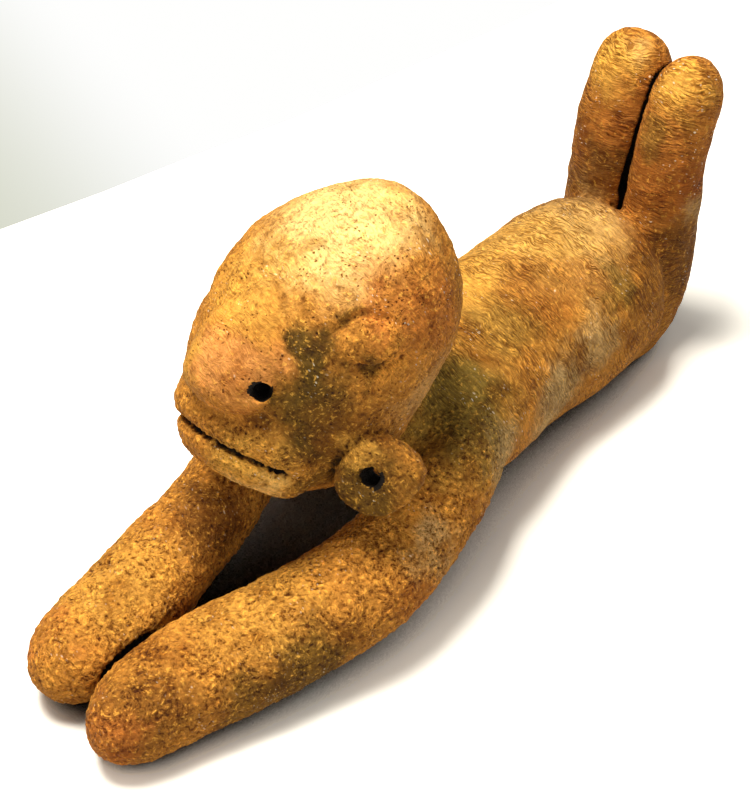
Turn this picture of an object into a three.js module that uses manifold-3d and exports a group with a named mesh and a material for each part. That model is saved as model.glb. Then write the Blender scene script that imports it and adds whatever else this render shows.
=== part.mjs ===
// A terracotta figure lying on its belly: arms stretched forward, head raised, shins folded up behind.
// It is modelled by hand from a loaf, rolls, pats and coils of clay, luted together wet and fired as one.
// Millimetres. +Z is up, the hands point along -Y, the figure's left side is +X, and it lies on z = 0.
import * as THREE from "three";
import { mergeVertices } from "three/addons/utils/BufferGeometryUtils.js";
import Module from "manifold-3d";

const wasm = await Module();
wasm.setup();

const luteGap = 0.3; // fine line left where one member is pressed onto another

// Trunk: a loaf, lifted at the chest and flat under the belly
const chestY = -8; // front of the chest, under the chin
const trunkLength = 142;
const shoulderHalf = 39;
const waistHalf = 32;
const hipHalf = 33;
const loafTaper = 3; // how much narrower the loaf is at either end
const backHeight = 62; // top of the back above the table
const chestLift = 14; // underside of the chest above the table
const chestDepth = 23; // half the thickness of the loaf at its front
const bellySink = 10; // how far the middle of the chest hangs below its lifted front
const chestRound = 30; // lengths over which the loaf is rounded off
const rumpRound = 18;

// Arms: one tapered roll each, from the hand to the shoulder
const handThickness = 26;
const armThickness = 30;
const upperArmHalf = 14.5;
const leftArmHalves = [11.5, 16.8, 17.6, 16.6, upperArmHalf, upperArmHalf]; // hand, wrist, forearm, elbow, shoulder
const rightArmHalves = [13, 16, 14.3, 13, upperArmHalf, upperArmHalf];
const leftHand = [16, -129]; // x is outwards from the middle; the left arm bows out
const leftWrist = [18.5, -98];
const leftForearm = [28.5, -67];
const leftElbow = [37, -36];
const rightHand = [11.5, -125]; // the right arm lies straighter
const rightWrist = [13.5, -99];
const rightForearm = [17.5, -69];
const rightElbow = [21.5, -40];
const elbowZ = 25; // the arms rise from the table to the shoulders
const shoulderX = 32;
const shoulderY = 12;
const shoulderZ = 38;

// Legs: one bent roll each, from the rump to the toes
const kneeY = 138;
const kneeHeight = 37; // thickness of the bent knee
const thighLength = 34; // from the knee to the leg's end under the rump
const kneeBend = 8;
const shinDepth = 26;
const toeBack = 8; // how far the toes lean back past the shins
const leftLegX = 13.2;
const leftKneeHalf = 12.8;
const leftShinHalf = 11.6;
const leftToe = [15.8, 112]; // x outwards, and height
const rightLegX = 11.8;
const rightKneeHalf = 13;
const rightShinHalf = 13.4;
const rightToe = [6, 114]; // the right foot closes in on the left one

// Head: an egg leaning back from the chin, carried by a short neck
const chin = [-2, -40.5, 40.7];
const headTilt = 27; // degrees that the crown leans back
const headHeight = 98;
const headHalf = 37;
const headDepth = 37;
const crownShift = 10; // how far the crown bulges to the left
const neckHalf = 24;
const neckFlare = 4; // how much wider the neck is on the chest
const neckRoot = 26; // from the front of the chest to the neck's end inside it
const neckEnd = [6, 34]; // the neck's end inside the head, behind its middle and above the chin

// Face: places are [distance round the head from the middle of the face, height above the chin]
const noseBottom = [0, 28];
const noseTop = [0, 65];
const noseHalf = 16;
const noseStand = 8;
const nostril = [13.5, 40.5];
const nostrilRadius = 2.9;
const nostrilDepth = 12;
const eyeInner = [24.5, 58];
const eyeOuter = [47.5, 62];
const eyeHalf = 6.2;
const eyeStand = 0.8;
const patSink = 3; // how deep eyes, nose and lips are pressed into the head
const socketMargin = 1.4; // pressed groove round each eye
const socketDrop = 3; // pressed hollow below each eye
const socketDepth = 1.6;
const mouthZ = 17.7;
const mouthOpening = 1.4;
const mouthSag = 4; // how far the corners hang below the middle
const upperLipSpread = 39; // from the middle of the mouth to the end of the lip
const lowerLipSpread = 43;
const upperLipHalf = 3.8;
const lowerLipHalf = 6;
const upperLipStand = 2.4;
const lowerLipStand = 4.6;
const lipEnd = 8; // length over which a lip's end is rounded off

// Ears: pierced lobes that stand out from the sides of the head
const earRadius = 12;
const earSink = 5; // how far each lobe is pressed into the head
const earThickness = 9;
const earBevel = 3;
const earHoleRadius = 3.1;
const leftEar = [53, 22.3];
const rightEar = [-65, 22.3];
const earFacing = 35; // degrees that each lobe faces outwards
const earHoleFacing = 11; // and its hole, which runs slanting back to the shoulder

const point = (x, y, z) => new THREE.Vector3(x, y, z);
const radians = THREE.MathUtils.degToRad;
const xAxis = point(1, 0, 0);
const yAxis = point(0, 1, 0);

// The value at t, from 0 to 1, of a smooth curve through evenly spaced sizes.
function sizeAt(sizes, t) {
  return new THREE.SplineCurve(sizes.map((size, i) => new THREE.Vector2(i, size))).getPoint(t).y;
}

// How full a rounded end is at a distance in from its tip.
const fullness = (distance, dome) => Math.sqrt(1 - (1 - Math.min(Math.max(distance / dome, 0), 1)) ** 2);

// A roll of clay: oval sections along a smooth spine, both ends rounded off over the lengths in domes.
// half is the half-width from side to side; above and below are the half-heights on either side of the spine.
function clayRoll({ spine, half, above, below = above, domes, around = 22, steps = 25 }) {
  const path = new THREE.CatmullRomCurve3(spine, false, "centripetal");
  const length = path.getLength();

  // A point at s along the spine and at an angle from +X round towards above, with the skin moved out by grow.
  function skin(s, angle, grow = 0) {
    const t = Math.min(Math.max(s / length, 0), 1);
    const tangent = path.getTangentAt(t);
    const across = xAxis.clone().addScaledVector(tangent, -xAxis.dot(tangent)).normalize();
    const up = across.clone().cross(tangent);
    const dome = fullness(s + grow, domes[0] + grow) * fullness(length - s + grow, domes[1] + grow);
    return path
      .getPointAt(t)
      .addScaledVector(tangent, s - t * length)
      .addScaledVector(across, dome * (sizeAt(half, t) + grow) * Math.cos(angle))
      .addScaledVector(up, dome * (sizeAt(Math.sin(angle) > 0 ? above : below, t) + grow) * Math.sin(angle));
  }

  return { skin, solid: (grow = 0) => loft(skin, length, around, steps, grow) };
}

// A closed surface through rings of points on a skin, closer together towards its rounded ends.
function loft(skin, length, around, steps, grow) {
  const points = [skin(-grow, 0, grow)];
  for (let i = 1; i < steps; i++) {
    const s = ((1 - Math.cos((Math.PI * i) / steps)) / 2) * (length + 2 * grow) - grow;
    for (let j = 0; j < around; j++) points.push(skin(s, (2 * Math.PI * j) / around, grow));
  }
  points.push(skin(length + grow, 0, grow));

  const ring = (i, j) => 1 + (i - 1) * around + (j % around);
  const indices = [];
  for (let j = 0; j < around; j++) {
    indices.push(0, ring(1, j), ring(1, j + 1));
    indices.push(points.length - 1, ring(steps - 1, j + 1), ring(steps - 1, j));
    for (let i = 1; i < steps - 1; i++) {
      indices.push(ring(i, j), ring(i + 1, j), ring(i, j + 1));
      indices.push(ring(i + 1, j), ring(i + 1, j + 1), ring(i, j + 1));
    }
  }
  return solidOf(new THREE.BufferGeometry().setFromPoints(points).setIndex(indices));
}

// A closed geometry as a solid that can be cut and joined.
function solidOf(geometry) {
  const bare = geometry.clone();
  bare.deleteAttribute("normal");
  bare.deleteAttribute("uv");
  const merged = mergeVertices(bare, 1e-4);
  return new wasm.Manifold(
    new wasm.Mesh({
      numProp: 3,
      vertProperties: new Float32Array(merged.attributes.position.array),
      triVerts: new Uint32Array(merged.index.array),
    })
  );
}

// A solid with others cut away. Slivers are cleaned off its edges, and crumbs that come loose are dropped.
function cut(solid, ...tools) {
  const bodies = tools.reduce((left, tool) => left.subtract(tool), solid).simplify(0.04).decompose();
  return bodies.reduce((a, b) => (b.volume() > a.volume() ? b : a));
}

const mirror = (solid) => solid.mirror([1, 0, 0]);
const table = solidOf(new THREE.BoxGeometry(600, 600, 200).translate(0, 0, -100));

// Head, in its own frame: the chin is the origin, the face looks along -Y and the crown is up
const egg = clayRoll({
  spine: [point(0, 0, 0), point(0, 0, headHeight)],
  half: [headHalf - 15, headHalf - 5, headHalf - 1.5, headHalf - 2, headHalf - 9],
  above: [headDepth - 9, headDepth - 2, headDepth, headDepth - 9, headDepth - 18],
  below: [headDepth - 23, headDepth - 11, headDepth - 4, headDepth - 4, headDepth - 8],
  domes: [20, 40],
});
function headSkin(s, angle, grow) {
  const place = egg.skin(s, angle, grow);
  place.x += crownShift * (Math.max(s, 0) / headHeight) ** 2;
  return place;
}
const headSolid = (grow = 0) => loft(headSkin, headHeight, 34, 26, grow);
const headSeat = headSolid(luteGap);

// The head's place on the figure
const headFrame = new THREE.Group();
headFrame.position.set(...chin);
headFrame.rotation.x = radians(-headTilt);
headFrame.updateMatrix();

const headSeatBelow = headSeat.transform(headFrame.matrix.elements);

// A place on the head, moved out by lift.
const onHead = ([round, z], lift = 0) => headSkin(z, Math.PI / 2 - round / headHalf, lift);

// A pat of clay that follows the head from one place to another, standing out of it and sunk into it.
// sag is how far its two ends hang below its middle.
function patOnHead({ from, to, half, stand, sink = patSink, sag = 0, domes, around = 20, steps = 16 }) {
  const start = new THREE.Vector2(...from);
  const along = new THREE.Vector2(...to).sub(start);
  const length = along.length();
  along.normalize();
  const across = new THREE.Vector2(along.y, -along.x);

  function skin(s, angle, grow) {
    const t = Math.min(Math.max(s / length, 0), 1);
    const dome = fullness(s + grow, domes[0] + grow) * fullness(length - s + grow, domes[1] + grow);
    const rise = Math.sin(angle) > 0 ? sizeAt(stand, t) : sink;
    const place = start.clone().addScaledVector(along, s);
    place.addScaledVector(across, dome * (sizeAt(half, t) + grow) * Math.cos(angle));
    place.y -= sag * (2 * t - 1) ** 2;
    return onHead(place.toArray(), dome * (rise + grow) * Math.sin(angle));
  }

  return { skin, solid: (grow = 0) => loft(skin, length, around, steps, grow) };
}

// Trunk
const trunkZ = backHeight / 2 - 1;
const trunkRoll = clayRoll({
  spine: [
    point(0, chestY, chestLift + chestDepth),
    point(0, chestY + trunkLength * 0.3, trunkZ + 4),
    point(0, chestY + trunkLength * 0.65, trunkZ),
    point(0, chestY + trunkLength, trunkZ),
  ],
  half: [shoulderHalf - loafTaper, shoulderHalf, waistHalf, hipHalf, hipHalf - loafTaper],
  above: [chestDepth, backHeight - trunkZ - 4, backHeight - trunkZ - 3, backHeight - trunkZ, backHeight - trunkZ],
  below: [chestDepth, trunkZ - chestLift + bellySink, trunkZ + 2, trunkZ + 2, trunkZ],
  domes: [chestRound, rumpRound],
  around: 32,
});
const trunkSeat = trunkRoll.solid(luteGap);
const trunk = cut(trunkRoll.solid(), table, headSeatBelow);

// Neck: a thick collar between the chest and the back of the jaw
const neckRoll = clayRoll({
  spine: [point(0, chestY + neckRoot, shoulderZ), point(0, ...neckEnd).applyMatrix4(headFrame.matrix)],
  half: [neckHalf + neckFlare, neckHalf, neckHalf],
  above: [neckHalf, neckHalf - 3, neckHalf],
  domes: [6, 6],
  steps: 12,
});
const neck = cut(neckRoll.solid(), trunkSeat, headSeatBelow);
const neckSeat = neckRoll.solid(luteGap);

// Arms: both rolls are shaped on the left, and the right one is mirrored
function armRoll(hand, wrist, forearm, elbow, halves) {
  const armHalf = armThickness / 2;
  return clayRoll({
    spine: [
      point(...hand, handThickness / 2),
      point(...wrist, armHalf - 1),
      point(...forearm, (armHalf + elbowZ) / 2 - 2),
      point(...elbow, elbowZ),
      point(shoulderX + 2, shoulderY - 14, shoulderZ - 4),
      point(shoulderX - 8, shoulderY + 12, shoulderZ),
    ],
    half: halves,
    above: [handThickness / 2, armHalf, armHalf, upperArmHalf, upperArmHalf, upperArmHalf + 4],
    domes: [16, 16],
    steps: 27,
  });
}
const armLeftRoll = armRoll(leftHand, leftWrist, leftForearm, leftElbow, leftArmHalves);
const armRightRoll = armRoll(rightHand, rightWrist, rightForearm, rightElbow, rightArmHalves);
const armLeftSeat = armLeftRoll.solid(luteGap);
const armLeft = cut(armLeftRoll.solid(), trunkSeat, neckSeat, headSeatBelow, table);
const armRight = cut(mirror(armRightRoll.solid()), trunkSeat, neckSeat, headSeatBelow, table, armLeftSeat);

// Legs
function legRoll(legX, kneeHalf, shinHalf, [toeX, toeZ]) {
  const thighHalf = kneeHeight / 2;
  const shinRise = shinDepth / 2;
  return clayRoll({
    spine: [
      point(legX, kneeY - thighLength, thighHalf + 2),
      point(legX, kneeY - kneeBend, thighHalf),
      point(legX, kneeY, kneeHeight + kneeBend / 2),
      point((legX + toeX) / 2, kneeY, (kneeHeight + toeZ + kneeBend) / 2),
      point(toeX, kneeY + toeBack, toeZ),
    ],
    half: [kneeHalf, kneeHalf, kneeHalf, shinHalf, shinHalf - 0.5],
    above: [thighHalf, thighHalf, shinRise + 1, shinRise, shinRise],
    below: [thighHalf, thighHalf, shinRise + 1, shinRise - 1, shinRise + 1],
    domes: [12, 14],
  });
}
const legLeftRoll = legRoll(leftLegX, leftKneeHalf, leftShinHalf, leftToe);
const legRightRoll = legRoll(rightLegX, rightKneeHalf, rightShinHalf, rightToe);
const legLeft = cut(legLeftRoll.solid(), trunkSeat, table);
const legRight = cut(mirror(legRightRoll.solid()), trunkSeat, table, legLeftRoll.solid(luteGap));

// Nose: a broad wedge from the brow to the tip, poked with a round stick for the nostrils
const nosePat = patOnHead({
  from: noseBottom,
  to: noseTop,
  half: [noseHalf, noseHalf, noseHalf - 4, noseHalf - 9],
  stand: [noseStand, noseStand, noseStand - 2, 2.5],
  domes: [7, 12],
});
const nostrils = [-1, 1].map((turn) => {
  const inwards = point(-turn * 0.5, 0.85, -0.1).normalize();
  const stick = new THREE.CylinderGeometry(nostrilRadius, nostrilRadius, 2 * nostrilDepth, 20);
  stick.applyQuaternion(new THREE.Quaternion().setFromUnitVectors(yAxis, inwards));
  stick.translate(...onHead([turn * nostril[0], nostril[1]], noseStand).toArray());
  return solidOf(stick);
});
const nose = cut(nosePat.solid(), headSeat, ...nostrils);

// Eyes: bean-shaped pats, each in a pressed socket that is left open below it
function eyePat(turn, margin = 0, drop = 0, sink = patSink) {
  const lengthHalf = (eyeOuter[0] - eyeInner[0]) / 2 + margin;
  return patOnHead({
    from: [turn * (eyeInner[0] - margin), eyeInner[1] - drop / 2],
    to: [turn * (eyeOuter[0] + margin), eyeOuter[1] - drop / 2],
    half: [eyeHalf + margin + drop / 2, eyeHalf + margin + drop / 2],
    stand: [eyeStand + margin, eyeStand + margin],
    sink,
    domes: [lengthHalf, lengthHalf],
    around: 16,
    steps: 14,
  });
}
const eyeLeft = eyePat(1).solid();
const eyeRight = eyePat(-1).solid();
const sockets = [1, -1].map((turn) =>
  eyePat(turn).solid(luteGap).add(eyePat(turn, socketMargin, socketDrop, socketDepth).solid())
);
const head = cut(headSolid(), ...nostrils, ...sockets);

// Lips: two coils bent round the front of the head
function lipCoil(z, half, stand, spread) {
  return patOnHead({
    from: [-spread, z],
    to: [spread, z],
    half: [half, half, half, half],
    stand: [stand, stand, stand, stand],
    sag: mouthSag,
    domes: [lipEnd, lipEnd],
    around: 14,
    steps: 24,
  });
}
const upperLipZ = mouthZ + upperLipHalf + mouthOpening / 2;
const lowerLipZ = mouthZ - lowerLipHalf - mouthOpening / 2;
const upperLipCoil = lipCoil(upperLipZ, upperLipHalf, upperLipStand, upperLipSpread);
const lowerLipCoil = lipCoil(lowerLipZ, lowerLipHalf, lowerLipStand, lowerLipSpread);
const upperLip = cut(upperLipCoil.solid(), headSeat, nosePat.solid(luteGap));
const lowerLip = cut(lowerLipCoil.solid(), headSeat);

// Ears, trimmed where the left one rests against the shoulder
function earLobe(place) {
  const outline = new THREE.Shape().absarc(0, 0, earRadius, 0, 2 * Math.PI);
  const lobe = new THREE.ExtrudeGeometry(outline, {
    depth: earThickness - 2 * earBevel,
    bevelSize: earBevel,
    bevelThickness: earBevel,
    bevelOffset: -earBevel,
    bevelSegments: 3,
    curveSegments: 9,
  });
  lobe.translate(0, 0, earBevel - earThickness / 2);
  lobe.rotateX(radians(90));
  lobe.rotateZ(radians(Math.sign(place[0]) * earFacing));
  const stick = new THREE.CylinderGeometry(earHoleRadius, earHoleRadius, 3 * earThickness, 20);
  stick.rotateZ(radians(Math.sign(place[0]) * earHoleFacing));
  for (const shape of [lobe, stick]) shape.translate(...onHead(place, earRadius - earSink).toArray());
  return solidOf(lobe).subtract(solidOf(stick));
}
const shoulderSeat = armLeftSeat.transform(headFrame.matrix.clone().invert().elements);
const earLeft = cut(earLobe(leftEar), headSeat, shoulderSeat);
const earRight = cut(earLobe(rightEar), headSeat);

// Fired clay colours
const clay = (color) => new THREE.MeshStandardMaterial({ color, roughness: 0.95, metalness: 0 });
const buffClay = clay(0xb58450);
const redClay = clay(0xa9683a);
const darkClay = clay(0x8d6a45);

function addMember(group, name, solid, material) {
  const { vertProperties, triVerts } = solid.getMesh();
  const geometry = new THREE.BufferGeometry();
  geometry.setAttribute("position", new THREE.BufferAttribute(new Float32Array(vertProperties), 3));
  geometry.setIndex(new THREE.BufferAttribute(new Uint32Array(triVerts), 1));
  geometry.computeVertexNormals();
  const mesh = new THREE.Mesh(geometry, material);
  mesh.name = name;
  group.add(mesh);
}

const figure = new THREE.Group();
addMember(figure, "trunk", trunk, darkClay);
addMember(figure, "neck", neck, darkClay);
addMember(figure, "arm_left", armLeft, buffClay);
addMember(figure, "arm_right", armRight, buffClay);
addMember(figure, "leg_left", legLeft, redClay);
addMember(figure, "leg_right", legRight, redClay);

figure.add(headFrame);
addMember(headFrame, "head", head, buffClay);
addMember(headFrame, "nose", nose, redClay);
addMember(headFrame, "upper_lip", upperLip, buffClay);
addMember(headFrame, "lower_lip", lowerLip, buffClay);
addMember(headFrame, "eye_left", eyeLeft, redClay);
addMember(headFrame, "eye_right", eyeRight, redClay);
addMember(headFrame, "ear_left", earLeft, darkClay);
addMember(headFrame, "ear_right", earRight, darkClay);

// The origin is at the middle of the figure's footprint, on the table
const middle = new THREE.Box3().setFromObject(figure, true).getCenter(new THREE.Vector3());
figure.position.set(-middle.x, -middle.y, 0);

export default figure;
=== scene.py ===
import bpy
import numpy as np
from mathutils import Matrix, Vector, noise
from mathutils.bvhtree import BVHTree
from mathutils.kdtree import KDTree


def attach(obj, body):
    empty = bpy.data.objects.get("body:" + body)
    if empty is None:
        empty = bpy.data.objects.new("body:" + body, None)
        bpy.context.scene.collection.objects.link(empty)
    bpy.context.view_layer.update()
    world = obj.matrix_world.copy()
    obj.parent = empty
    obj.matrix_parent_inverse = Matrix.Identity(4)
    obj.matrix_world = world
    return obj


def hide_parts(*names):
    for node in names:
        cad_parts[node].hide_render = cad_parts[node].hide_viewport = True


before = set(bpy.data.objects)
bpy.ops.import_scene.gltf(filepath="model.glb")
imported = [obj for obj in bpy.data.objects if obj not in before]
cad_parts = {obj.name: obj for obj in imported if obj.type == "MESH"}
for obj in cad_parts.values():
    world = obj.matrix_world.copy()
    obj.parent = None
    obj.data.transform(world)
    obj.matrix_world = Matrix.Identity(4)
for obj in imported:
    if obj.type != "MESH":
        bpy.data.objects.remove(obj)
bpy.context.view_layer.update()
MM = 0.001


# The wet figure: a loaf, rolls, an egg, pats and coils of clay, pressed onto one another by hand
# until they are one body. Each face of its skin still belongs to the member that it lies on.
face_size_mm = 0.62
swelling_mm = 0.25
smallest_patch = 400
# Rounds that are surely enough to refill a stray patch from its rim.
refill_rounds = 200
members = sorted(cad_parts)


def select_only(piece):
    bpy.ops.object.select_all(action="DESELECT")
    piece.select_set(True)
    bpy.context.view_layer.objects.active = piece


def finish_with(piece, kind, **settings):
    """Adds a modifier with these settings and applies it."""
    select_only(piece)
    modifier = piece.modifiers.new(kind.lower(), kind)
    for setting, value in settings.items():
        setattr(modifier, setting, value)
    bpy.ops.object.modifier_apply(modifier=modifier.name)


bpy.ops.object.select_all(action="DESELECT")
for member in members:
    lump = bpy.data.objects.new(member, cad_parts[member].data.copy())
    bpy.context.collection.objects.link(lump)
    lump.select_set(True)
    bpy.context.view_layer.objects.active = lump
bpy.ops.object.join()
figure = bpy.context.active_object
figure.name = "wet_figure"
figure.data.materials.clear()
bpy.ops.object.mode_set(mode="EDIT")
bpy.ops.mesh.select_all(action="SELECT")
bpy.ops.mesh.remove_doubles(threshold=1e-6)
bpy.ops.object.mode_set(mode="OBJECT")
finish_with(figure, "DISPLACE", strength=swelling_mm * MM, mid_level=0)
finish_with(figure, "REMESH", mode="VOXEL", voxel_size=face_size_mm * MM)

# What the hands close up between the members is filled: only the outer skin stays.
bpy.ops.object.mode_set(mode="EDIT")
bpy.ops.mesh.select_all(action="SELECT")
bpy.ops.mesh.separate(type="LOOSE")
bpy.ops.object.mode_set(mode="OBJECT")
shells = sorted(bpy.context.selected_objects, key=lambda shell: len(shell.data.polygons))
figure = shells.pop()
for shell in shells:
    bpy.data.objects.remove(shell)
skin = figure.data

corners, triangles, owner = [], [], []
for number, member in enumerate(members):
    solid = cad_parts[member].data
    first = len(corners)
    corners.extend(vertex.co for vertex in solid.vertices)
    triangles.extend([first + i for i in face.vertices] for face in solid.polygons)
    owner.extend([number] * len(solid.polygons))
solids = BVHTree.FromPolygons(corners, triangles)
centres = np.empty(len(skin.polygons) * 3)
skin.polygons.foreach_get("center", centres)
labels = np.array([owner[solids.find_nearest(centre)[2]] for centre in centres.reshape(-1, 3)])

# The two faces on each edge, and the edge's two vertices.
edge_of_corner = np.empty(len(skin.loops), int)
skin.loops.foreach_get("edge_index", edge_of_corner)
sides = np.empty(len(skin.polygons), int)
skin.polygons.foreach_get("loop_total", sides)
face_of_corner = np.repeat(np.arange(len(sides)), sides)
faces_beside = face_of_corner[np.argsort(edge_of_corner, kind="stable")].reshape(-1, 2)
ends = np.empty(len(skin.edges) * 2, int)
skin.edges.foreach_get("vertices", ends)
ends = ends.reshape(-1, 2)
vertex_of_corner = np.empty(len(skin.loops), int)
skin.loops.foreach_get("vertex_index", vertex_of_corner)


def even_out(labels, rounds):
    """Ragged borders are evened out: a face goes over to the member that most of its neighbours are on."""
    for _ in range(rounds):
        votes = np.zeros((len(labels), len(members)), np.int8)
        np.add.at(votes, (faces_beside[:, 0], labels[faces_beside[:, 1]]), 2)
        np.add.at(votes, (faces_beside[:, 1], labels[faces_beside[:, 0]]), 2)
        votes[np.arange(len(labels)), labels] += 1
        labels = votes.argmax(1)
    return labels


def patches_of(labels):
    """One number a face, the same for all the faces of a patch that hangs together."""
    patch = np.arange(len(labels))
    joined = labels[faces_beside[:, 0]] == labels[faces_beside[:, 1]]
    one, other = faces_beside[joined].T
    settled = False
    while not settled:
        before = patch
        lowest = np.minimum(patch[one], patch[other])
        patch = patch.copy()
        np.minimum.at(patch, one, lowest)
        np.minimum.at(patch, other, lowest)
        patch = patch[patch]
        settled = (patch == before).all()
    return patch


# A stray patch, such as the blind end of a nostril, goes to the member round it.
labels = even_out(labels, 12)
patch = patches_of(labels)
labels[np.bincount(patch)[patch] < smallest_patch] = -1
for _ in range(refill_rounds):
    for here, there in ((0, 1), (1, 0)):
        bare, beside = faces_beside[:, here], faces_beside[:, there]
        taken = (labels[bare] < 0) & (labels[beside] >= 0)
        labels[bare[taken]] = labels[beside[taken]]
labels = even_out(np.maximum(labels, 0), 6)


# The luted seams: a wet finger draws the clay of one member over the other, widest at the shoulders
# and hips. The facets of the rolls go with it, while the small pieces of the face stay crisp.
seam_reach_mm = {
    ("trunk", "neck"): 11,
    ("trunk", "arm_left"): 11,
    ("trunk", "arm_right"): 11,
    ("neck", "arm_left"): 9,
    ("neck", "arm_right"): 9,
    ("trunk", "leg_left"): 12,
    ("trunk", "leg_right"): 12,
    ("head", "neck"): 5,
    ("head", "trunk"): 5,
    ("head", "nose"): 5,
    ("head", "upper_lip"): 4,
    ("head", "lower_lip"): 5,
    ("nose", "upper_lip"): 4,
    ("head", "eye_right"): 4,
}
crisp_members = ["ear_left", "ear_right", "eye_left", "eye_right", "lower_lip", "nose", "upper_lip"]
crispness = 0.75
seam_rounds = 260
skin_rounds = 40
weight_steps = 40
far_off_mm = 1e3
# The mouths of the poked holes, which the finger leaves alone, and how far round them.
poked_mm = [
    ((11.4, -70.3, 94.1), 7),
    ((-15.0, -70.3, 94.1), 7),
    ((35.0, -48.8, 63.2), 7),
    ((-40.8, -38.5, 57.9), 7),
]
# Where the rear of the left ear lobe runs into the cheek.
ear_rear_mm, ear_rear_reach_mm = (37, -40, 71), 9


def skin_places():
    places = np.empty(len(skin.vertices) * 3)
    skin.vertices.foreach_get("co", places)
    return places.reshape(-1, 3) / MM


def full_within(distance, reach):
    """1 at no distance, 0 from the reach on, and smooth between."""
    share = np.clip(1 - distance / reach, 0, 1)
    return share * share * (3 - 2 * share)


def distance_to(goal, near):
    """How far each of these vertices is from the nearest of the goal's vertices."""
    tree = KDTree(len(goal))
    for number in goal:
        tree.insert(places[number], number)
    tree.balance()
    return np.array([tree.find(place)[2] for place in places[near]])


def around(goal, reach):
    """The vertices in the box round the goal's vertices."""
    low, high = places[goal].min(axis=0) - reach, places[goal].max(axis=0) + reach
    return np.flatnonzero(((places > low) & (places < high)).all(axis=1))


def nearness_to_seam(pair, reach):
    """One value a vertex: 1 on the seam between two members, and 0 from the reach on."""
    numbers = sorted(members.index(member) for member in pair)
    on_seam = (np.sort(labels[faces_beside], axis=1) == numbers).all(axis=1)
    nearness = np.zeros(len(places))
    seam = np.unique(ends[on_seam])
    if len(seam):
        near = around(seam, reach)
        nearness[near] = np.clip(1 - distance_to(seam, near) / reach, 0, 1)
    return nearness


def vertices_of(member):
    return np.unique(vertex_of_corner[labels[face_of_corner] == members.index(member)])


def gap_between(one, other, reach):
    """One value a vertex: how far it is from the line where two members meet or come closest."""
    first, second = vertices_of(one), vertices_of(other)
    near = np.intersect1d(around(first, reach), around(second, reach))
    gap = np.full(len(places), far_off_mm)
    gap[near] = np.maximum(distance_to(first, near), distance_to(second, near))
    return gap


def spread(values, rounds):
    """Blurs values, one a vertex, over the skin."""
    touching = np.bincount(ends.ravel(), minlength=len(values))
    for _ in range(rounds):
        total = np.bincount(ends[:, 0], values[ends[:, 1]], len(values))
        total += np.bincount(ends[:, 1], values[ends[:, 0]], len(values))
        values = (values + total / touching) / 2
    return values


def weigh(name, weights):
    """Stores one weight a vertex, from 0 to 1, as a vertex group in even steps."""
    group = figure.vertex_groups.new(name=name)
    steps = np.rint(np.clip(weights, 0, 1) * weight_steps).astype(int)
    for step in range(1, weight_steps + 1):
        group.add(np.flatnonzero(steps == step).tolist(), step / weight_steps, "REPLACE")


def share_of(chosen):
    """One value a vertex: the share of its faces that belong to these members."""
    held = np.isin(labels, [members.index(member) for member in chosen]).astype(float)
    total = np.bincount(vertex_of_corner, held[face_of_corner], len(skin.vertices))
    return total / np.bincount(vertex_of_corner, minlength=len(skin.vertices))


places = skin_places()
seam_weight = np.zeros(len(places))
for pair, reach in seam_reach_mm.items():
    seam_weight = np.maximum(seam_weight, 1.3 * nearness_to_seam(pair, 1.3 * reach) * min(reach / 9, 1))
ear_rear = full_within(np.linalg.norm(places - ear_rear_mm, axis=1), ear_rear_reach_mm)
seam_weight = np.maximum(seam_weight, ear_rear * nearness_to_seam(("head", "ear_left"), 6))
skin_weight = 1 - crispness * spread(share_of(crisp_members), 8)
for place, reach in poked_mm:
    untouched = 1 - full_within(np.linalg.norm(places - place, axis=1), reach) * 1.6
    seam_weight *= np.clip(untouched, 0, 1)
    skin_weight *= np.clip(untouched, 0.05, 1)
weigh("seams", seam_weight)
weigh("skin", skin_weight)
finish_with(figure, "SMOOTH", factor=0.5, iterations=seam_rounds, vertex_group="seams")
finish_with(figure, "SMOOTH", factor=0.5, iterations=skin_rounds, vertex_group="skin")


# The coarse skin: finger dents, lumps, and sand that stands out of the clay where it was washed away.
# Arms, lips and head are the roughest, and the brush went over trunk, legs and shoulders last.
dents = [
    # (size in mm, height in mm, where)
    (20, 1.5, "everywhere"),
    (6.5, 0.8, "everywhere"),
    (2.4, 0.8, "gritty"),
    (1.2, 0.55, "gritty"),
]
sandiness = {"arm_left": 1, "arm_right": 1, "head": 0.6, "upper_lip": 1, "lower_lip": 0.9, "nose": 0.35,
             "eye_left": 0.8, "eye_right": 0.8, "ear_left": 0.8, "ear_right": 0.8,
             "neck": 0.6, "trunk": 0.3, "leg_left": 0.25, "leg_right": 0.25}
brushing = {"arm_left": 0.15, "arm_right": 0.15, "head": 0.35, "upper_lip": 0.2, "lower_lip": 0.2,
            "nose": 0.4, "eye_left": 0.3, "eye_right": 0.3, "ear_left": 0.4, "ear_right": 0.4,
            "neck": 1, "trunk": 1, "leg_left": 1, "leg_right": 1}
# Rounds of blurring: how softly grit and brush marks end at a seam, and how wide a pit and a hollow are.
grit_rounds, brush_rounds = 24, 60
pit_rounds, hollow_rounds = 6, 60


def facing_of():
    facing = np.empty(len(skin.vertices) * 3)
    skin.vertices.foreach_get("normal", facing)
    return facing.reshape(-1, 3)


outwards = facing_of()
gritty = sum(share * spread(share_of([member]), grit_rounds) for member, share in sandiness.items())
brushed = sum(share * spread(share_of([member]), brush_rounds) for member, share in brushing.items())
weigh("gritty", gritty)
weigh("everywhere", np.ones(len(places)))
for number, (size, height, where) in enumerate(dents):
    pattern = bpy.data.textures.new(f"dents_{number}", "CLOUDS")
    pattern.noise_scale = size * MM
    pattern.noise_depth = 2
    finish_with(figure, "DISPLACE", texture=pattern, texture_coords="LOCAL", strength=height * MM,
                mid_level=0.5, vertex_group=where)

places = skin_places()
facing = facing_of()


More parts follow.
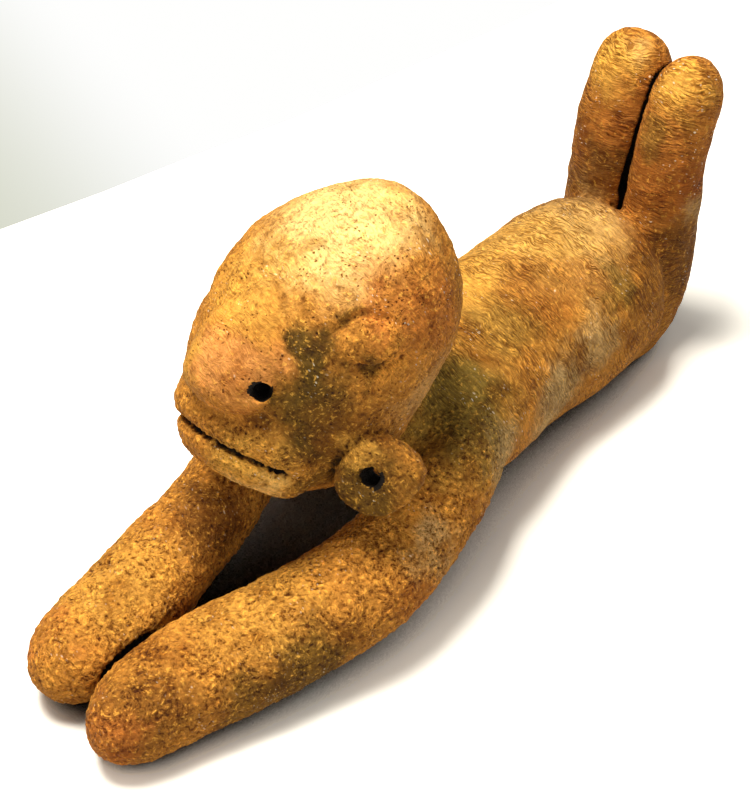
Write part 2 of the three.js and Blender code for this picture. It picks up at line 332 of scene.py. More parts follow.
def below_surroundings(rounds):
    """How far each vertex lies below its surroundings, in mm: the colour paints shade into the hollows and a
    highlight onto the rims.
    """
    level = np.stack([spread(places[:, axis], rounds) for axis in range(3)], axis=1)
    return ((level - places) * facing).sum(axis=1)


pit = below_surroundings(pit_rounds)
hollow = below_surroundings(hollow_rounds)


# How much of a splinter's depth is added to the hollow, which paints shade into it.
splinter_shade = 0.6


def unevenness(near):
    """Grains beside a mark narrow it and pits widen it, by up to a quarter of a millimetre."""
    return 0.8 * np.clip(-pit[near], -0.3, 0.3)


def distance_to_line(line, near):
    """The nearest of the line's samples to each of these vertices, and how far it is."""
    apart = np.linalg.norm(places[near][:, None, :] - line[None, :, :], axis=2)
    nearest = apart.argmin(axis=1)
    return apart[np.arange(len(near)), nearest], nearest


def score(*corners):
    """Draws a splinter along corners of (x, y, z, half width, depth), all in mm."""
    corners = np.array(corners, float)
    run = np.concatenate([[0], np.cumsum(np.linalg.norm(np.diff(corners[:, :3], axis=0), axis=1))])
    steps = np.linspace(0, run[-1], int(run[-1] / 0.3) + 2)
    line = np.stack([np.interp(steps, run, corners[:, axis]) for axis in range(5)], axis=1)
    reach = corners[:, 3].max() + 4
    low, high = line[:, :3].min(axis=0) - reach, line[:, :3].max(axis=0) + reach
    near = np.flatnonzero(((places > low) & (places < high)).all(axis=1))
    apart = np.linalg.norm(places[near][:, None, :] - line[None, :, :3], axis=2)
    line[:, :3] = places[near][apart.argmin(axis=0)]
    distance, nearest = distance_to_line(line[:, :3], near)
    depth = line[nearest, 4] * full_within(distance + unevenness(near), line[nearest, 3])
    places[near] -= outwards[near] * depth[:, None]
    # The splinter is painted dark as shade, through the hollow.
    hollow[near] += splinter_shade * depth


def part(gap, half_width, depth):
    """Opens the line where two members meet; half width and depth may differ from vertex to vertex."""
    pressed = depth * full_within(gap + unevenness(slice(None)), half_width)
    places[:] -= outwards * pressed[:, None]
    # The opened line is painted dark as shade, through the hollow.
    hollow[:] += pressed


def nudge(place, reach, move):
    """Pushes the clay round a place with a finger."""
    share = full_within(np.linalg.norm(places - place, axis=1), reach)
    places[:] += share[:, None] * np.array(move)


def crumble(weights, size, height):
    """Roughens the skin with loose crumbs."""
    for number in np.flatnonzero(weights > 0.02):
        crumb = noise.turbulence(Vector(places[number] / size), 2, True)
        places[number] += outwards[number] * ((crumb - 0.5) * height * weights[number])


# Fired clay: sand in a fine body, ochre where the fire was clear, cream where the slip stayed on,
# brick red where the flame licked it and olive grey where smoke lay against it.
def add_node(tree, kind, inputs=None, **settings):
    """Adds a node with these settings, and sets or links its inputs."""
    node = tree.nodes.new(kind)
    for setting, value in settings.items():
        setattr(node, setting, value)
    for socket, value in (inputs or {}).items():
        if isinstance(value, bpy.types.NodeSocket):
            tree.links.new(value, node.inputs[socket])
        else:
            node.inputs[socket].default_value = value
    return node


def new_group(name, inputs, outputs):
    """A shader node group, with its two ends."""
    tree = bpy.data.node_groups.new(name, "ShaderNodeTree")
    for direction, sockets in (("INPUT", inputs), ("OUTPUT", outputs)):
        for socket, kind in sockets:
            tree.interface.new_socket(socket, in_out=direction, socket_type="NodeSocket" + kind)
    return tree, tree.nodes.new("NodeGroupInput").outputs, tree.nodes.new("NodeGroupOutput").inputs


def blend_of(tree, share, below, above, kind="MIX"):
    """One colour laid over another by a share, which may be a socket or a number."""
    inputs = {0: share, 6: below, 7: above}
    return add_node(tree, "ShaderNodeMix", inputs, data_type="RGBA", blend_type=kind).outputs[2]


def math_of(tree, operation, *values):
    return add_node(tree, "ShaderNodeMath", dict(enumerate(values)), operation=operation).outputs[0]


def vector_of(tree, operation, *values, **named):
    node = add_node(tree, "ShaderNodeVectorMath", {**dict(enumerate(values)), **named}, operation=operation)
    return node.outputs["Value" if operation in ("DISTANCE", "DOT_PRODUCT") else "Vector"]


def ramp_of(tree, value, low, high, to_low=0.0, to_high=1.0):
    """A value stretched smoothly from low..high to to_low..to_high."""
    inputs = {"Value": value, "From Min": low, "From Max": high, "To Min": to_low, "To Max": to_high}
    return add_node(tree, "ShaderNodeMapRange", inputs, interpolation_type="SMOOTHSTEP").outputs[0]


def noise_of(tree, place, size_mm, detail=3.0, roughness=0.55, output="Fac"):
    node = add_node(tree, "ShaderNodeTexNoise",
                    {"Vector": place, "Scale": 1 / size_mm, "Detail": detail, "Roughness": roughness})
    return node.outputs[output]


def dots_of(tree, place, spacing_mm, radius_mm, rarity):
    """Dots at random places: one in each cell of this size, but only in a share of the cells."""
    cells = add_node(tree, "ShaderNodeTexVoronoi",
                     {"Vector": place, "Scale": 1 / spacing_mm, "Randomness": 1.0})
    chance = add_node(tree, "ShaderNodeSeparateColor", {0: cells.outputs["Color"]}).outputs
    size = math_of(tree, "MULTIPLY_ADD", chance[1], 0.6, 0.5)
    distance = math_of(tree, "DIVIDE", cells.outputs["Distance"], size)
    full = ramp_of(tree, distance, radius_mm / spacing_mm, 0.45 * radius_mm / spacing_mm)
    return math_of(tree, "MULTIPLY", full, math_of(tree, "GREATER_THAN", chance[0], rarity))


def srgb(code):
    """A linear colour from its written code."""
    parts = [int(code[i:i + 2], 16) / 255 for i in (1, 3, 5)]
    return tuple(c / 12.92 if c <= 0.04045 else ((c + 0.055) / 1.055) ** 2.4 for c in parts) + (1,)


# A cloud of colour that the fire left, and for a few clouds painted shade: full in its middle and ragged at
# its rim.
cloud_group, into, out_of = new_group(
    "fire_and_shade_cloud", [("Place", "Vector"), ("Centre", "Vector"), ("Reach", "Float")], [("Mask", "Float")])
away = math_of(cloud_group, "DIVIDE", vector_of(cloud_group, "DISTANCE", into["Place"], into["Centre"]),
               into["Reach"])
cloud_group.links.new(ramp_of(cloud_group, away, 1.1, 0.35), out_of["Mask"])

# The body of the clay, over the colours of the fire: blotches, mottling, brush strokes that run across the
# stroke axis, crumbs of grit, pits and pale flecks. Painted light is mixed in: glints on crumbs and flecks,
# a highlight on rims, and shade in the low crumbs and wherever the skin lies below its surroundings.
clay_group, into, out_of = new_group(
    "sandy_clay",
    [("Place", "Vector"), ("Colour", "Color"), ("Stroke Axis", "Vector"), ("Pits", "Float"),
     ("Flecks", "Float")],
    [("Colour", "Color"), ("Roughness", "Float"), ("Height", "Float")])
tree = clay_group
place = into["Place"]
pit_depth, hollow_depth, grit, strokes_on = (
    add_node(tree, "ShaderNodeAttribute", attribute_name=name).outputs["Fac"]
    for name in ("pit", "hollow", "grit", "strokes"))
bend_mm = (5, 5, 5)
drift = vector_of(tree, "SUBTRACT", noise_of(tree, place, 9, 2, output="Color"), (0.5, 0.5, 0.5))
bent = vector_of(tree, "MULTIPLY_ADD", drift, bend_mm, place)
along = vector_of(tree, "DOT_PRODUCT", bent, into["Stroke Axis"])


def streaks_of(size_mm, squeeze, detail):
    """Noise that is squeezed along the stroke axis, so that it makes streaks across it."""
    closer = math_of(tree, "MULTIPLY", along, squeeze - 1)
    stretch = vector_of(tree, "SCALE", into["Stroke Axis"], Scale=closer)
    return noise_of(tree, vector_of(tree, "ADD", bent, stretch), size_mm, detail, 0.5)


streaks = math_of(tree, "MULTIPLY_ADD", streaks_of(2.7, 8, 2), 0.6,
                  math_of(tree, "MULTIPLY", streaks_of(6, 8, 2), 0.4))
streaked = math_of(tree, "MULTIPLY", strokes_on,
                   ramp_of(tree, noise_of(tree, place, 13, 2), 0.34, 0.58, 0.35, 1))
blotches = noise_of(tree, place, 11, 4)
mottling = noise_of(tree, bent, 2.6, 4, 0.65)
specks = noise_of(tree, place, 0.6, 2, 0.6)
crumbs = noise_of(tree, bent, 1.35, 3, 0.72)
crumbly = math_of(tree, "MULTIPLY", ramp_of(tree, noise_of(tree, place, 7, 3), 0.36, 0.6, 0.35, 1), grit)
pitted = math_of(tree, "MULTIPLY", ramp_of(tree, noise_of(tree, place, 8, 3), 0.4, 0.58), into["Pits"])
pits = math_of(tree, "MULTIPLY", dots_of(tree, bent, 1.15, 0.4, 0.3), pitted)
flecked = math_of(tree, "MULTIPLY", ramp_of(tree, noise_of(tree, place, 10, 3), 0.5, 0.66), into["Flecks"])
fleck_place = vector_of(tree, "ADD", bent, vector_of(tree, "SCALE", into["Stroke Axis"], Scale=along))
flecks = math_of(tree, "MULTIPLY", dots_of(tree, fleck_place, 1.9, 0.62, 0.5), flecked)

# The black is painted shade for the hollows; the straw and the white are painted glints.
painted_shade_black, straw_glint, fleck_glint_white = srgb("#0b0602"), srgb("#c9973f"), srgb("#fff3d6")
paler, deeper, deepest = (1.62, 1.6, 1.5, 1), (0.52, 0.40, 0.24, 1), (0.3, 0.2, 0.09, 1)
colour = into["Colour"]
for share, tint, kind in (
        (ramp_of(tree, blotches, 0.52, 0.72, 0, 0.5), paler, "MULTIPLY"),
        (ramp_of(tree, blotches, 0.48, 0.3, 0, 0.8), deeper, "MULTIPLY"),
        (ramp_of(tree, mottling, 0.52, 0.74, 0, 0.55), paler, "MULTIPLY"),
        (ramp_of(tree, mottling, 0.48, 0.28, 0, 0.75), deeper, "MULTIPLY"),
        # Painted glints: straw crumbs and paler raised crumbs stand for light caught by the grit, and the
        # low crumbs are painted darker as shade.
        (ramp_of(tree, crumbs, 0.56, 0.67, 0, 0.6), straw_glint, "MIX"),
        (math_of(tree, "MULTIPLY", ramp_of(tree, crumbs, 0.52, 0.64), crumbly), paler, "MULTIPLY"),
        (math_of(tree, "MULTIPLY", ramp_of(tree, crumbs, 0.48, 0.37), crumbly), deepest, "MULTIPLY"),
        (math_of(tree, "MULTIPLY", ramp_of(tree, streaks, 0.505, 0.58), streaked), paler, "MULTIPLY"),
        (math_of(tree, "MULTIPLY", ramp_of(tree, streaks, 0.495, 0.42), streaked), deeper, "MULTIPLY"),
        # Painted highlight on rims that stand above their surroundings, and painted shade in the pits.
        (ramp_of(tree, pit_depth, -0.03, -0.22, 0, 0.7), paler, "MULTIPLY"),
        (ramp_of(tree, pit_depth, 0.02, 0.2), deepest, "MULTIPLY"),
        (pits, deepest, "MULTIPLY"),
        # Pale flecks: their white is a painted glint, and their lower roughness gives a real shine.
        (math_of(tree, "MULTIPLY", flecks, 0.8), fleck_glint_white, "MIX"),
        # Painted shade: the hollows, creases and holes are painted near black.
        (ramp_of(tree, hollow_depth, 0.3, 1.6), painted_shade_black, "MIX")):
    colour = blend_of(tree, share, colour, tint, kind)
tree.links.new(colour, out_of["Colour"])
tree.links.new(math_of(tree, "SUBTRACT", ramp_of(tree, specks, 0.3, 0.7, 0.6, 0.92),
                       math_of(tree, "MULTIPLY", flecks, 0.3)), out_of["Roughness"])
height = math_of(tree, "MULTIPLY", crumbs, math_of(tree, "MULTIPLY", crumbly, 3.8))
height = math_of(tree, "MULTIPLY_ADD", streaks, math_of(tree, "MULTIPLY", streaked, 4.4), height)
height = math_of(tree, "MULTIPLY_ADD", specks, 0.6, height)
height = math_of(tree, "MULTIPLY_ADD", mottling, 0.8, height)
height = math_of(tree, "MULTIPLY_ADD", pits, -1.2, height)
tree.links.new(height, out_of["Height"])

tones = {
    "ochre": srgb("#b4782e"),
    "cream": srgb("#e8c47e"),
    "sand": srgb("#cb9740"),
    "blush": srgb("#cf8c4a"),
    "brick": srgb("#b2632a"),
    "rust": srgb("#8a4814"),
    "umber": srgb("#643b0f"),
    "olive": srgb("#6c5d26"),
    "smoke": srgb("#43330b"),
    "ash": srgb("#bb9f6c"),
}
fire_and_shade_clouds = [
    # (tone, middle in mm, reach in mm, strength)
    ("umber", (0, 116, 52), 62, 0.55),      # the shins and the rump
    ("brick", (10, 122, 84), 40, 0.35),
    ("rust", (24, 122, 70), 15, 0.75),
    ("smoke", (-3, 112, 74), 9, 0.5),
    ("olive", (11, 113, 90), 9, 0.5),
    ("umber", (-11, 111, 58), 17, 0.6),
    ("ash", (27, 130, 62), 13, 0.5),
    ("umber", (27, 124, 42), 20, 0.7),
    ("sand", (-10, 119, 106), 15, 0.8),     # the feet
    ("sand", (17, 120, 106), 14, 0.8),
    ("cream", (-4, 80, 64), 34, 0.45),      # the top of the back
    ("sand", (-8, 58, 64), 46, 0.7),
    ("rust", (16, 76, 56), 12, 0.45),       # the right of the back
    ("rust", (14, 54, 58), 20, 0.6),
    ("olive", (24, 84, 50), 11, 0.5),
    ("ash", (29, 66, 40), 14, 0.6),         # the flank
    ("ash", (31, 42, 30), 18, 0.75),
    ("olive", (14, 34, 58), 18, 0.45),      # the shoulder behind the head
    ("olive", (27, -2, 54), 28, 0.85),
    ("ash", (38, 4, 38), 14, 0.6),
    ("umber", (-14, 100, 40), 26, 0.5),
    ("olive", (-28, 14, 50), 22, 0.5),
    ("brick", (-30, 84, 34), 22, 0.4),
    ("cream", (0, 116, 128), 20, 0.5),      # the feet
    ("cream", (2, -30, 126), 30, 0.85),     # the crown and the forehead
    ("sand", (-8, -54, 114), 22, 0.55),
    ("brick", (22, -31, 117), 11, 0.3),
    ("brick", (34, -24, 106), 16, 0.5),     # temple and eye
    ("brick", (27, -38, 112), 9, 0.4),
    ("brick", (30, -42, 107), 7, 0.3),
    ("smoke", (23, -46, 111), 5, 0.6),
    ("smoke", (31, -45, 96), 6, 0.6),
    ("smoke", (17, -58, 99), 13, 0.9),      # between nose and eye, and the cheek
    ("smoke", (22, -60, 84), 17, 0.85),
    ("umber", (29, -50, 80), 16, 0.6),
    ("smoke", (20, -62, 72), 12, 0.55),
    ("ash", (33, -28, 78), 14, 0.35),
    ("brick", (2, -72, 98), 15, 0.3),       # the nose
    ("blush", (3, -75, 99), 15, 0.85),
    ("sand", (-12, -73, 94), 10, 0.6),
    ("umber", (4, -76, 74), 9, 0.4),        # the lips
    ("sand", (8, -72, 64), 18, 0.85),
    ("cream", (9, -71, 58), 11, 0.5),
    # The smoke under the end of the lower lip is painted shade under the jaw.
    ("smoke", (20, -60, 54), 10, 0.6),
    ("smoke", (36, -52, 60), 20, 0.85),     # the left ear
    ("sand", (33, -54, 74), 7, 0.6),
    ("ash", (48, -38, 36), 12, 0.5),        # the left arm
    ("rust", (52, -50, 25), 14, 0.6),
    ("smoke", (43, -84, 18), 20, 0.8),
    ("smoke", (38, -104, 12), 16, 0.7),
    ("sand", (20, -86, 32), 24, 0.45),
    ("umber", (24, -130, 22), 20, 0.65),
    ("brick", (18, -140, 14), 14, 0.5),
    # The umber on the upper right arm, under the chin, is painted shadow of the head.
    ("umber", (-12, -72, 31), 18, 0.85),    # the right arm
    ("sand", (-14, -104, 30), 22, 0.45),
    ("brick", (-18, -128, 16), 13, 0.6),
    # The smoke in the groove between the hands is painted shade.
    ("smoke", (5, -104, 16), 10, 0.6),      # between the hands
]
ragged_rim_mm = (30, 30, 30)
relief_mm = 0.4


def fired_clay(name, stroke_axis, pits, flecks):
    """Sandy clay with every cloud of the fire and of painted shade, each at its own place on the figure."""
    material = bpy.data.materials.new(name)
    material.use_nodes = True
    tree = material.node_tree
    shader = tree.nodes["Principled BSDF"]
    spot = add_node(tree, "ShaderNodeTexCoord").outputs["Object"]
    place = vector_of(tree, "MULTIPLY", spot, (1 / MM, 1 / MM, 1 / MM))
    wander = vector_of(tree, "SUBTRACT", noise_of(tree, place, 14, 5, 0.6, "Color"), (0.5, 0.5, 0.5))
    ragged = vector_of(tree, "MULTIPLY_ADD", wander, ragged_rim_mm, place)
    colour = tones["ochre"]
    for tone, middle, reach, strength in fire_and_shade_clouds:
        cloud = add_node(tree, "ShaderNodeGroup", {}, node_tree=cloud_group)
        tree.links.new(ragged, cloud.inputs["Place"])
        cloud.inputs["Centre"].default_value = middle
        cloud.inputs["Reach"].default_value = reach
        share = math_of(tree, "MULTIPLY", cloud.outputs["Mask"], strength)
        colour = blend_of(tree, share, colour, tones[tone])
    clay = add_node(tree, "ShaderNodeGroup", {}, node_tree=clay_group)
    tree.links.new(place, clay.inputs["Place"])
    tree.links.new(colour, clay.inputs["Colour"])
    clay.inputs["Stroke Axis"].default_value = Vector(stroke_axis).normalized()
    clay.inputs["Pits"].default_value = pits
    clay.inputs["Flecks"].default_value = flecks
    tree.links.new(clay.outputs["Colour"], shader.inputs["Base Color"])
    tree.links.new(clay.outputs["Roughness"], shader.inputs["Roughness"])
    bump = add_node(tree, "ShaderNodeBump",
                    {"Height": clay.outputs["Height"], "Strength": 1.0, "Distance": relief_mm * MM})
    tree.links.new(bump.outputs[0], shader.inputs["Normal"])
    shader.inputs["Specular IOR Level"].default_value = 0.12
    return material


def take_off(member, material, swell=0.0):
    """Each seat rises to a point by the swell, a share of its own width: outwards above zero, inwards
    below."""
    piece = figure.copy()
    piece.data = skin.copy()
    bpy.context.collection.objects.link(piece)
    piece.name = piece.data.name = member + "_clay"
    piece.vertex_groups.clear()
    piece.data.vertices.foreach_set("co", (places * MM).ravel())
    for name, values in (("pit", pit), ("hollow", hollow), ("grit", gritty), ("strokes", brushed)):
        piece.data.attributes.new(name, "FLOAT", "POINT").data.foreach_set("value", values)
    select_only(piece)
    bpy.ops.object.mode_set(mode="EDIT")
    bpy.context.tool_settings.mesh_select_mode = (False, False, True)
    bpy.ops.mesh.select_all(action="DESELECT")
    bpy.ops.object.mode_set(mode="OBJECT")
    piece.data.polygons.foreach_set("select", labels != members.index(member))
    bpy.ops.object.mode_set(mode="EDIT")
    bpy.ops.mesh.delete(type="FACE")
    bpy.context.tool_settings.mesh_select_mode = (False, True, False)
    bpy.ops.mesh.select_non_manifold()
    bpy.ops.mesh.mark_sharp()
    bpy.ops.mesh.fill_holes(sides=0)
    bpy.ops.object.mode_set(mode="OBJECT")
    sides = np.empty(len(piece.data.polygons), int)
    piece.data.polygons.foreach_get("loop_total", sides)
    piece.data.polygons.foreach_set("select", sides > 4)
    bpy.ops.object.mode_set(mode="EDIT")
    bpy.context.tool_settings.mesh_select_mode = (False, False, True)
    bpy.ops.mesh.poke(offset=swell, use_relative_offset=True, center_mode="MEDIAN_WEIGHTED")
    bpy.ops.object.mode_set(mode="OBJECT")
    piece.data.polygons.foreach_set("use_smooth", np.ones(len(piece.data.polygons), bool))
    piece.data.materials.clear()
    piece.data.materials.append(material)
    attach(piece, "root")
    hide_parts(member)


# The legs: two rolls bent at the knee, pressed together from the knees to the feet. The crack between
# them gapes halfway down the shins, and its edges are chipped where they stand on the rump.
crack_height_mm = [48, 52, 57, 62, 69, 78, 92, 104, 112]
crack_half_width_mm = [0.6, 1.2, 1.5, 2.3, 2.0, 1.2, 0.9, 0.8, 1.0]
crack_depth_mm = [0.5, 1.6, 2.6, 5.0, 4.0, 2.6, 2.0, 1.8, 1.2]
part(gap_between("leg_left", "leg_right", 6),
     np.interp(places[:, 2], crack_height_mm, crack_half_width_mm),
     np.interp(places[:, 2], crack_height_mm, crack_depth_mm))
for chip in ((-3.2, 115.0, 55.0), (2.3, 106.0, 60.5), (5.0, 108.5, 59.0), (-8.0, 112.0, 56.0)):
    x, y, z = chip
    score((x - 1.2, y, z, 1.3, 0.9), (x + 0.6, y, z + 0.5, 1.6, 1.1), (x + 1.6, y - 0.6, z - 0.4, 1.0, 0.7))
leg_clay = fired_clay("leg_clay", (0.05, 0.3, 1), 0.35, 1.0)
take_off("leg_left", leg_clay)
take_off("leg_right", leg_clay)


# The trunk and the neck: a loaf with the chest lifted and a thick collar of clay under the head,
# brushed round the girth while wet. The loaf is undercut where it comes off the table at the elbow.
nudge((36, 20, 10), 13, (-2.5, 0, 0.6))
nudge((35, 36, 16), 9, (1.2, 0, 0))
trunk_clay = fired_clay("trunk_clay", (0.1, 0.9, 0.42), 0.4, 0.6)
take_off("trunk", trunk_clay)
take_off("neck", trunk_clay)


# The arms: two tapered rolls that lie forward on the table until the hands meet. The groove between
# the hands is full of crumbs, and both rolls are the sandiest part of the figure.
groove = gap_between("arm_left", "arm_right", 8)
crumble(full_within(groove, 5), 1.5, 1.6)
part(groove, 2.1, 2.4)
nudge((-24.2, -83.6, 32.1), 6, (0.6, 0, -1.2))
arm_clay = fired_clay("arm_clay", (0.3, 0.85, 0.42), 0.5, 0.35)
take_off("arm_left", arm_clay)
take_off("arm_right", arm_clay)


# The eyes: pats in pressed sockets. A splinter cuts the fold under the brow and the lower lid, and
# the outer corner runs out into the temple. The right eye is pressed flatter.
for brow, lid in (
        (((20.6, -52.0, 105.0, 1.4, 0.5), (21.3, -50.0, 107.2, 2.0, 1.2), (22.6, -47.0, 109.2, 2.2, 1.5),
          (23.8, -43.6, 110.8, 2.2, 1.5), (27.5, -39.6, 110.2, 1.8, 1.2), (31.6, -35.8, 107.4, 1.4, 0.4)),
         ((24.0, -52.5, 103.2, 1.6, 0.3), (26.5, -50.1, 99.8, 2.2, 0.9), (30.5, -45.8, 95.5, 2.4, 1.2),
          (33.1, -39.7, 97.1, 2.2, 1.0), (35.2, -32.7, 98.6, 1.6, 0.3))),
        (((-20.9, -50.7, 106.7, 1.1, 0.3), (-21.2, -44.1, 110.7, 1.4, 0.5), (-28.2, -37.0, 108.0, 1.0, 0.3)),
         ((-27.5, -50.1, 99.8, 1.3, 0.6), (-31.9, -45.8, 95.5, 1.6, 0.9), (-34.6, -32.7, 98.6, 1.0, 0.4)))):
    score(*brow)
    score(*lid)
nudge((-29.5, -43.5, 102.8), 15, (1.2, 0.5, -0.3))
face_clay = fired_clay("face_clay", (0.25, 0.75, 0.6), 1.0, 0.7)
take_off("eye_left", face_clay)
take_off("eye_right", face_clay)


# The lips: two coils, pressed flat with the mouth left open between them as a ragged slit.
ragged = np.sin(places[:, 0] / 1.9) + np.sin(places[:, 0] / 0.83 + 1)
part(gap_between("upper_lip", "lower_lip", 5), 0.95 + 0.22 * ragged, 0.9 + 0.3 * ragged)
score((17.8, -63.7, 61.4, 1.0, 0.8), (20.2, -62.4, 60.6, 0.7, 0.4))
take_off("upper_lip", face_clay)
take_off("lower_lip", face_clay)


# The nose: a broad wedge, poked with a round stick that left a funnel and a lip of clay below it.
# The nostrils end below the skin of the head, so the seat of the nose swells into that of the head.
nostrils = [
    # (middle of the mouth, direction of the stick)
    ((11.4, -70.3, 94.1), (-0.504, 0.718, -0.479)),
    ((-15.0, -70.3, 94.1), (0.504, 0.718, -0.479)),
]
nostril_radius_mm = 2.9


def poke(mouth, direction, radius, funnel, deeper, shade_from):
    """Widens the mouth of a hole to a funnel, drives its end deeper, and paints it black as shade from a
    depth on.
    """
    direction = np.array(Vector(direction).normalized())
    depth = (places - mouth) @ direction
    off_axis = np.linalg.norm(places - mouth - depth[:, None] * direction, axis=1)
    close = full_within(np.abs(depth), 6)
    places[:] += direction * (funnel * full_within(off_axis, 2.1 * radius) * close)[:, None]
    places[:] += direction * (deeper * full_within(off_axis, 1.1 * radius) * close)[:, None]
    inside = (off_axis < 1.35 * radius) & (depth > shade_from) & (depth < 16)
    inside |= (off_axis < 0.85 * radius) & (np.abs(depth) < 16)
    # Painted shade: the inside of the hole counts as a deep hollow, which paints it black.
    hollow[inside] = np.maximum(hollow[inside], 3)


nudge((11.4, -70.3, 94.1), 10, (1.3, 0.5, -0.7))
for mouth, direction in nostrils:
    poke(mouth, direction, nostril_radius_mm, 1.0, 0.6, 0.9)
score((6.8, -74.3, 82.6, 2.2, 0.5), (13.4, -70.3, 83.2, 2.4, 0.9), (19.0, -67.1, 80.9, 1.8, 0.4))
take_off("nose", face_clay, 0.8)


# The ears: two thick lobes, pierced slantwise with the same stick and pressed on edge to the cheeks.
# The left one leans on the shoulder, and its foot is cut off from the jaw by a seam.
ear_holes = [((35.0, -48.8, 63.2), (-0.191, 0.875, -0.446)), ((-40.8, -38.5, 57.9), (0.191, 0.875, -0.446))]
hole_radius_mm = 3.1
rear_narrowing = 0.62
for middle, direction in ear_holes:
    direction = np.array(Vector(direction).normalized())
    depth = (places - middle) @ direction
    across = places - middle - depth[:, None] * direction
    narrowed = full_within(np.linalg.norm(across, axis=1), 3 * hole_radius_mm) * np.clip(depth / 5, 0, 1)
    narrowed *= np.abs(depth) < 11
    places -= across * (rear_narrowing * narrowed)[:, None]
    poke(Vector(middle) - Vector(direction) * 5, direction, hole_radius_mm, 0.9, 0.0, 1.0)
nudge((47.6, -37.8, 63.2), 14, (2.4, 2.1, 0))
score((28.8, -50.6, 72.0, 1.0, 0.6), (26.5, -52.6, 66.0, 1.6, 1.5), (24.8, -53.9, 60.6, 1.8, 1.8),
      (20.5, -50.5, 53.0, 1.5, 1.2))
take_off("ear_left", face_clay)
take_off("ear_right", face_clay)


# The head: an egg that leans back from the chin, with the slip still cream on the crown. Its seats are
# pressed inwards, which makes room for the nostrils.
take_off("head", face_clay, -1.0)
bpy.data.objects.remove(figure)


# The table: a white sheet with a round edge far behind at the left, over the pale floor of the room.
sheet_corners_mm = [(-218, 9), (-208, 55), (-201, 96), (-190, 150), (-100, 900), (2500, 900), (2500, -2500),
                    (-500, -2500), (-300, -300), (-245, -90)]
room_floor_mm = -300
painted_shadow_reach_mm = 80
whitest_mm = (300, 800)
sheet_mesh = bpy.data.meshes.new("table")
sheet_mesh.from_pydata([(x * MM, y * MM, 0) for x, y in reversed(sheet_corners_mm)], [],
                       [range(len(sheet_corners_mm))])
table = bpy.data.objects.new("table", sheet_mesh)
bpy.context.collection.objects.link(table)
sheet = bpy.data.materials.new("white_sheet")
sheet.use_nodes = True
tree = sheet.node_tree
shader = tree.nodes["Principled BSDF"]


def seen_of(tree):
    """1 for the rays that show the background, straight or in a shine."""
    rays = add_node(tree, "ShaderNodeLightPath").outputs
    return math_of(tree, "MAXIMUM", rays["Is Camera Ray"],
                   math_of(tree, "MAXIMUM", rays["Is Glossy Ray"], rays["Is Transmission Ray"]))


# A painted shadow: ambient occlusion paints the sheet black where the figure shuts out nearly all the light,
# and it is dim in the light that it gives back.
occlusion = add_node(tree, "ShaderNodeAmbientOcclusion", {"Distance": painted_shadow_reach_mm * MM}, samples=8)
painted_shadow = ramp_of(tree, occlusion.outputs["AO"], 0.22, 0.55)
white = blend_of(tree, painted_shadow, (0.002, 0.002, 0.002, 1), (1.5, 1.47, 1.38, 1))
tree.links.new(blend_of(tree, seen_of(tree), (0.3, 0.28, 0.25, 1), white), shader.inputs["Base Color"])
shader.inputs["Roughness"].default_value = 0.9
shader.inputs["Specular IOR Level"].default_value = 0.0
# Far off, where the lamps hardly reach it, the sheet is as white as the room.
spot = add_node(tree, "ShaderNodeTexCoord").outputs["Object"]
far_off = ramp_of(tree, vector_of(tree, "DISTANCE", spot, (0, 0, 0)), whitest_mm[0] * MM, whitest_mm[1] * MM)
shader.inputs["Emission Color"].default_value = (1, 1, 1, 1)
tree.links.new(math_of(tree, "MULTIPLY", seen_of(tree), far_off), shader.inputs["Emission Strength"])
table.data.materials.append(sheet)

bpy.ops.mesh.primitive_plane_add(size=6, location=(0, 0, room_floor_mm * MM))
room_floor = bpy.context.active_object
room_floor.name = "room_floor"
pale_floor = bpy.data.materials.new("pale_floor")
pale_floor.use_nodes = True
tree = pale_floor.node_tree
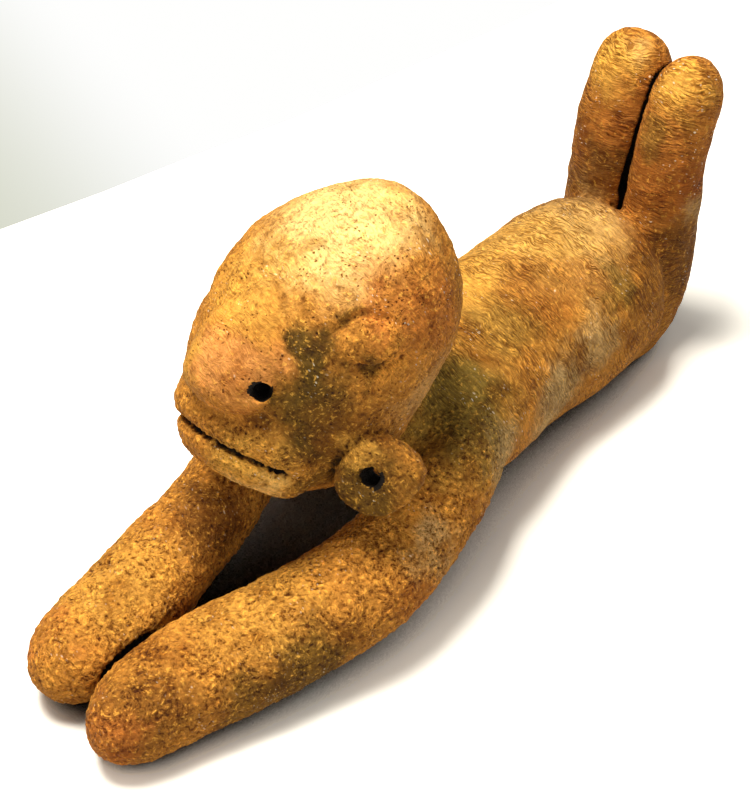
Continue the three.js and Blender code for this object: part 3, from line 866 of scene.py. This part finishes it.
# Painted shade: the room floor glows grey on the near side and fades to white towards the window.
spot = add_node(tree, "ShaderNodeTexCoord").outputs["Object"]
towards_window = (0.2955, 0.9553, 0)
away = vector_of(tree, "DOT_PRODUCT", spot, towards_window)
shader = tree.nodes["Principled BSDF"]
shader.inputs["Base Color"].default_value = (0, 0, 0, 1)
shader.inputs["Specular IOR Level"].default_value = 0.0
tree.links.new(blend_of(tree, ramp_of(tree, away, 0.04, 0.25), (0.68, 0.695, 0.585, 1), (1, 1, 0.99, 1)),
               shader.inputs["Emission Color"])
tree.links.new(seen_of(tree), shader.inputs["Emission Strength"])
room_floor.data.materials.append(pale_floor)

# Soft studio light: a wide lamp above at the left, a weaker one low in front, and a little from all sides.
for name, place, size, power, tint in (
        ("lamp_above", (-0.16, -0.08, 0.80), 0.36, 11.2, (1.0, 0.96, 0.88)),
        ("lamp_right", (0.75, -0.20, 0.42), 0.6, 3.4, (1.0, 0.97, 0.92)),
        ("lamp_front", (0.10, -0.85, 0.18), 0.3, 2.0, (1.0, 0.94, 0.84))):
    bpy.ops.object.light_add(type="AREA", location=place)
    lamp = bpy.context.active_object
    lamp.name = name
    lamp.data.energy = power
    lamp.data.size = size
    lamp.data.color = tint
    lamp.rotation_mode = "QUATERNION"
    lamp.rotation_quaternion = Vector(place).to_track_quat("Z", "Y")
world = bpy.data.worlds.new("room")
bpy.context.scene.world = world
world.use_nodes = True
tree = world.node_tree
room = tree.nodes["Background"]
room.inputs["Color"].default_value = (1, 1, 1, 1)
fill_light = 0.05
brightness = math_of(tree, "MULTIPLY_ADD", seen_of(tree), 1 - fill_light, fill_light)
tree.links.new(brightness, room.inputs["Strength"])

# The camera of the photograph, about half a metre away.
lens = bpy.data.cameras.new("camera")
lens.lens = 79.15
lens.sensor_width = 36
camera = bpy.data.objects.new("camera", lens)
bpy.context.collection.objects.link(camera)
camera.location = Vector((277.225, -318.182, 395.105)) * MM
camera.rotation_mode = "QUATERNION"
camera.rotation_quaternion = Vector((0.51258, -0.56928, 0.64279)).to_track_quat("Z", "Y")
bpy.context.scene.camera = camera
bpy.context.scene.view_settings.view_transform = "Standard"
